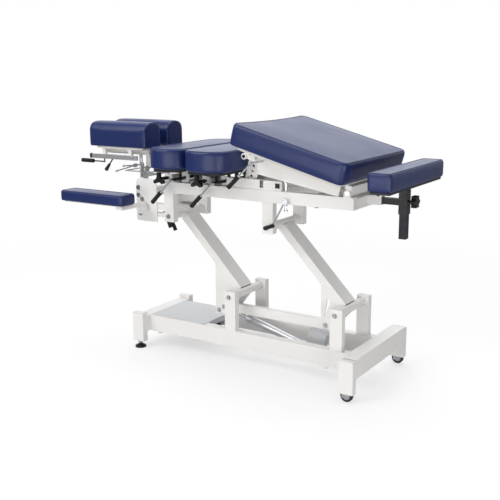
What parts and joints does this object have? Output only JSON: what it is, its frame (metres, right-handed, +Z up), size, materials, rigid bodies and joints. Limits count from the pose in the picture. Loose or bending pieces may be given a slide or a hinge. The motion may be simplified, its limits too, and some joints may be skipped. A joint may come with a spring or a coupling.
{
  "type": "chiropractic table",
  "caption": "Height-adjustable chiropractic table with navy split cushions, tilting pelvic section, drop levers, sliding foot rest and a white parallelogram lift on levelling feet and castors.",
  "frame": {"origin": "bottom centre of the box around the whole table, on the floor", "axes": "+X from the head end to the foot end, +Y to the left of a person lying face down with the head at -X, away from the side with the arm rest, +Z up"},
  "size_m": [1.624, 0.617, 1.0423],
  "materials": {
    "white_coat": "warm white powder coat",
    "grey_sheet": "light grey powder coat",
    "white_plastic": "moulded white caps",
    "grey_plastic": "moulded grey hubs",
    "black_plastic": "moulded black",
    "black_steel": "black powder coat",
    "chrome": "bright chrome",
    "zinc": "zinc plated",
    "bare_aluminium": "bare extruded aluminium",
    "tyre": "black rubber",
    "white_board": "white painted plywood",
    "navy_vinyl": "smooth navy vinyl over foam"
  },
  "bodies": {
    "base": {"base_frame": "white_coat", "base_end_caps": "white_plastic", "base_cover": "grey_sheet", "control_box": "black_plastic", "levelling_feet": "black_plastic", "castor_forks": "zinc", "lower_pivot_shafts": "zinc", "actuator_mount": "white_coat"},
    "castor_right": {"castor_tyre_right": "tyre", "castor_hub_right": "grey_plastic"},
    "castor_left": {"castor_tyre_left": "tyre", "castor_hub_left": "grey_plastic"},
    "head_arm": {"head_lift_arm": "white_coat", "head_crank_pins": "zinc"},
    "foot_arm": {"foot_lift_arm": "white_coat", "foot_crank_pins": "zinc"},
    "tie_bar": {"tie_bar": "white_coat"},
    "actuator": {"actuator_housing": "grey_plastic", "actuator_tube": "bare_aluminium"},
    "piston": {"actuator_rod": "chrome"},
    "upper": {"upper_frame": "white_coat", "upper_end_caps": "white_plastic", "upper_bolts": "zinc", "drop_mechanism": "white_coat", "head_carrier": "white_coat"},
    "thoracic": {"thoracic_board": "white_board", "thoracic_cushion": "navy_vinyl"},
    "lumbar": {"lumbar_board": "white_board", "lumbar_cushion": "navy_vinyl"},
    "thoracic_lever": {"thoracic_lever": "chrome", "thoracic_lever_grip": "black_plastic"},
    "lumbar_lever": {"lumbar_lever": "chrome", "lumbar_lever_grip": "black_plastic"},
    "thoracic_knob": {"thoracic_tension_knob": "black_plastic"},
    "lumbar_knob": {"lumbar_tension_knob": "black_plastic"},
    "pelvic": {"pelvic_frame": "white_coat"},
    "pelvic_pad": {"pelvic_board": "white_board", "pelvic_cushion": "navy_vinyl"},
    "pelvic_cocking_lever": {"pelvic_lever": "chrome", "pelvic_lever_grip": "black_plastic"},
    "strut_body": {"strut_cylinder": "black_steel"},
    "strut_piston": {"strut_rod": "chrome"},
    "tilt_release_lever": {"release_lever": "chrome"},
    "foot_slide": {"foot_slide_tube": "black_steel"},
    "foot_rest": {"foot_post": "black_steel", "foot_cushion": "navy_vinyl"},
    "foot_knob": {"foot_clamp_knob": "black_plastic"},
    "riser": {"head_riser": "zinc", "head_rail_rod": "chrome"},
    "head_tilt": {"head_bracket": "white_coat", "pull_bars": "bare_aluminium", "pull_grips": "black_plastic"},
    "head_right": {"head_board_right": "white_board", "head_cushion_right": "navy_vinyl"},
    "head_left": {"head_board_left": "white_board", "head_cushion_left": "navy_vinyl"},
    "head_lock": {"head_lock_lever": "chrome"},
    "height_lever_pair": {"height_levers": "black_plastic"},
    "arm_rest": {"arm_rest_frame": "white_coat", "arm_rest_cushion": "navy_vinyl"}
  },
  "joints": [
    {"name": "castor_right_roll", "type": "hinge", "parent": "base", "child": "castor_right", "pos_m": [0.648, -0.2215, 0.025], "axis": [0, 1, 0], "continuous": true},
    {"name": "castor_left_roll", "type": "hinge", "parent": "base", "child": "castor_left", "pos_m": [0.648, 0.2725, 0.025], "axis": [0, 1, 0], "continuous": true},
    {"name": "lift", "type": "hinge", "parent": "base", "child": "head_arm", "pos_m": [0.028, 0.0255, 0.295], "axis": [0, 1, 0], "range_deg": [-38, 12]},
    {"name": "foot_arm_swing", "type": "hinge", "parent": "base", "child": "foot_arm", "pos_m": [0.535, 0.0255, 0.295], "axis": [0, 1, 0], "range_deg": [-38.5, 12.5]},
    {"name": "tie_bar_pivot", "type": "hinge", "parent": "head_arm", "child": "tie_bar", "pos_m": [-0.062, 0.0255, 0.216], "axis": [0, 1, 0], "range_deg": [-12.5, 38.5]},
    {"name": "upper_frame_level", "type": "hinge", "parent": "head_arm", "child": "upper", "pos_m": [-0.2846, 0.0255, 0.6187], "axis": [0, 1, 0], "range_deg": [-12.5, 38.5]},
    {"name": "actuator_pivot", "type": "hinge", "parent": "base", "child": "actuator", "pos_m": [0.428, 0.0385, 0.055], "axis": [0, 1, 0], "range_deg": [-4.66, 1.61]},
    {"name": "actuator_stroke", "type": "slide", "parent": "actuator", "child": "piston", "axis": [-0.9638, 0, 0.2666], "range_m": [-0.09274, 0.03065]},
    {"name": "thoracic_drop", "type": "slide", "parent": "upper", "child": "thoracic", "axis": [0, 0, 1], "range_m": [-0.01, 0]},
    {"name": "lumbar_drop", "type": "slide", "parent": "upper", "child": "lumbar", "axis": [0, 0, 1], "range_m": [-0.01, 0]},
    {"name": "thoracic_cocking", "type": "hinge", "parent": "upper", "child": "thoracic_lever", "pos_m": [-0.204, 0.0255, 0.793], "axis": [0, 1, 0], "range_deg": [-31, 1]},
    {"name": "lumbar_cocking", "type": "hinge", "parent": "upper", "child": "lumbar_lever", "pos_m": [0.006, 0.0255, 0.793], "axis": [0, 1, 0], "range_deg": [-31, 1]},
    {"name": "thoracic_tension", "type": "hinge", "parent": "upper", "child": "thoracic_knob", "pos_m": [-0.296, 0.0255, 0.787], "axis": [0, 1, 0], "continuous": true},
    {"name": "lumbar_tension", "type": "hinge", "parent": "upper", "child": "lumbar_knob", "pos_m": [-0.094, 0.0255, 0.787], "axis": [0, 1, 0], "continuous": true},
    {"name": "pelvic_tilt", "type": "hinge", "parent": "upper", "child": "pelvic", "pos_m": [0.58, 0.0255, 0.7865], "axis": [0, 1, 0], "range_deg": [-15, 5]},
    {"name": "strut_pivot", "type": "hinge", "parent": "upper", "child": "strut_body", "pos_m": [0.4, 0.0705, 0.748], "axis": [0, 1, 0], "range_deg": [-26.15, 8.92]},
    {"name": "strut_stroke", "type": "slide", "parent": "strut_body", "child": "strut_piston", "axis": [-0.6857, 0, 0.7279], "range_m": [-0.03796, 0.01399]},
    {"name": "pelvic_drop", "type": "slide", "parent": "pelvic", "child": "pelvic_pad", "axis": [0.2588, 0, 0.9659], "range_m": [-0.01, 0]},
    {"name": "pelvic_cocking", "type": "hinge", "parent": "pelvic", "child": "pelvic_cocking_lever", "pos_m": [0.20806, 0.0255, 0.88979], "axis": [0, 1, 0], "range_deg": [-31, 1]},
    {"name": "tilt_release", "type": "hinge", "parent": "upper", "child": "tilt_release_lever", "pos_m": [0.315, -0.1325, 0.737], "axis": [0, 1, 0], "range_deg": [0, 14]},
    {"name": "foot_section_slide", "type": "slide", "parent": "upper", "child": "foot_slide", "axis": [1, 0, 0], "range_m": [-0.03, 0.12]},
    {"name": "foot_section_height", "type": "slide", "parent": "foot_slide", "child": "foot_rest", "axis": [0, 0, 1], "range_m": [-0.012, 0.08]},
    {"name": "foot_clamp_turn", "type": "hinge", "parent": "foot_slide", "child": "foot_knob", "pos_m": [0.7555, 0.0255, 0.754], "axis": [1, 0, 0], "continuous": true},
    {"name": "head_section_height", "type": "slide", "parent": "upper", "child": "riser", "axis": [0, 0, 1], "range_m": [-0.03, 0.05]},
    {"name": "head_section_tilt", "type": "hinge", "parent": "riser", "child": "head_tilt", "pos_m": [-0.459, 0.0255, 0.815], "axis": [0, 1, 0], "range_deg": [-20, 20]},
    {"name": "head_cushion_right_slide", "type": "slide", "parent": "head_tilt", "child": "head_right", "axis": [0, -1, 0], "range_m": [-0.02, 0.02]},
    {"name": "head_cushion_left_slide", "type": "slide", "parent": "head_tilt", "child": "head_left", "axis": [0, 1, 0], "range_m": [-0.02, 0.02]},
    {"name": "head_lock_turn", "type": "hinge", "parent": "riser", "child": "head_lock", "pos_m": [-0.459, -0.1265, 0.834], "axis": [0, 1, 0], "range_deg": [-15, 20]},
    {"name": "height_release", "type": "hinge", "parent": "upper", "child": "height_lever_pair", "pos_m": [-0.347, -0.0345, 0.62], "axis": [0, 1, 0], "range_deg": [-12, 12]},
    {"name": "arm_rest_swing", "type": "hinge", "parent": "upper", "child": "arm_rest", "pos_m": [-0.412, -0.1195, 0.65], "axis": [0, 1, 0], "range_deg": [-90, 20]}
  ],
  "couplings": [
    {"joint": "foot_arm_swing", "follows": "lift", "ratio": 1},
    {"joint": "tie_bar_pivot", "follows": "lift", "ratio": -1},
    {"joint": "upper_frame_level", "follows": "lift", "ratio": -1},
    {"joint": "actuator_pivot", "follows": "lift", "ratio": 0.11745},
    {"joint": "actuator_stroke", "follows": "lift", "m_per_rad": 0.13681},
    {"joint": "thoracic_cocking", "follows": "thoracic_drop", "rad_per_m": 52.36},
    {"joint": "lumbar_cocking", "follows": "lumbar_drop", "rad_per_m": 52.36},
    {"joint": "strut_pivot", "follows": "pelvic_tilt", "ratio": 1.7232},
    {"joint": "strut_stroke", "follows": "pelvic_tilt", "m_per_rad": 0.13737},
    {"joint": "pelvic_cocking", "follows": "pelvic_drop", "rad_per_m": 52.36}
  ]
}
